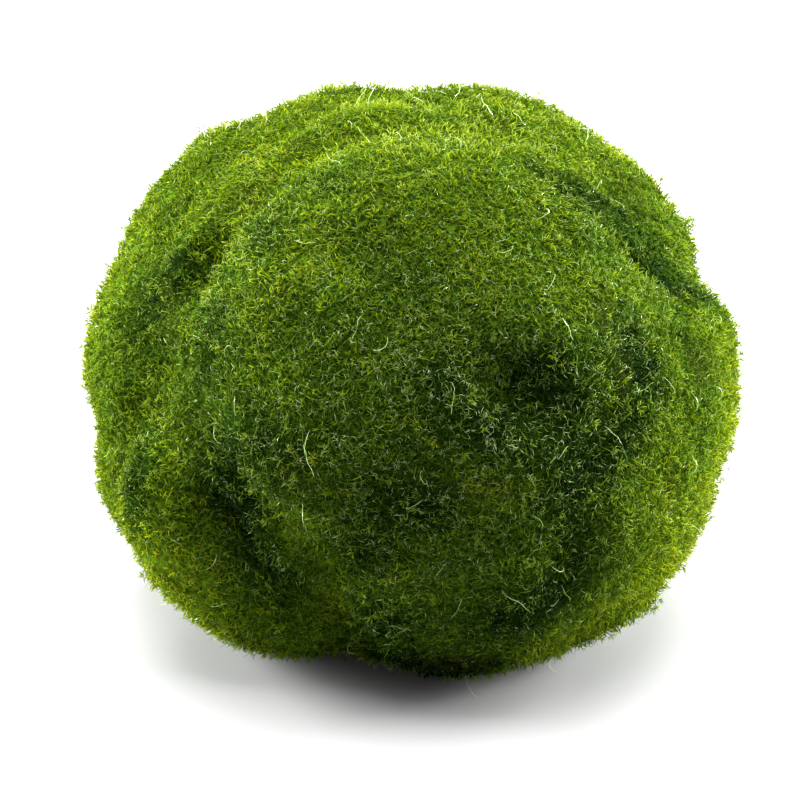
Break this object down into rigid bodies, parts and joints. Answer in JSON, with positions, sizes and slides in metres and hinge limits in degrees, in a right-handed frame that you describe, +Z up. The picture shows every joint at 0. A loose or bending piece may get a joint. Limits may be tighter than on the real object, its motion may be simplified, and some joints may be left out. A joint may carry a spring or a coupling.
{
  "type": "moss ball",
  "caption": "Lumpy ball of green water alga with a fine thread pile, a dark furrow and pits, resting on a small flat spot.",
  "frame": {"origin": "on the surface that the ball rests on, under the middle of its box", "axes": "+X to the ball's right as seen from its front, +Y to its back, +Z up"},
  "size_m": [0.05, 0.049, 0.0406],
  "materials": {
    "moss": "wet, soft pile of fine green alga threads, yellow-green on top and deep green below"
  },
  "bodies": {
    "root": {"moss_ball": "moss"}
  },
  "joints": []
}
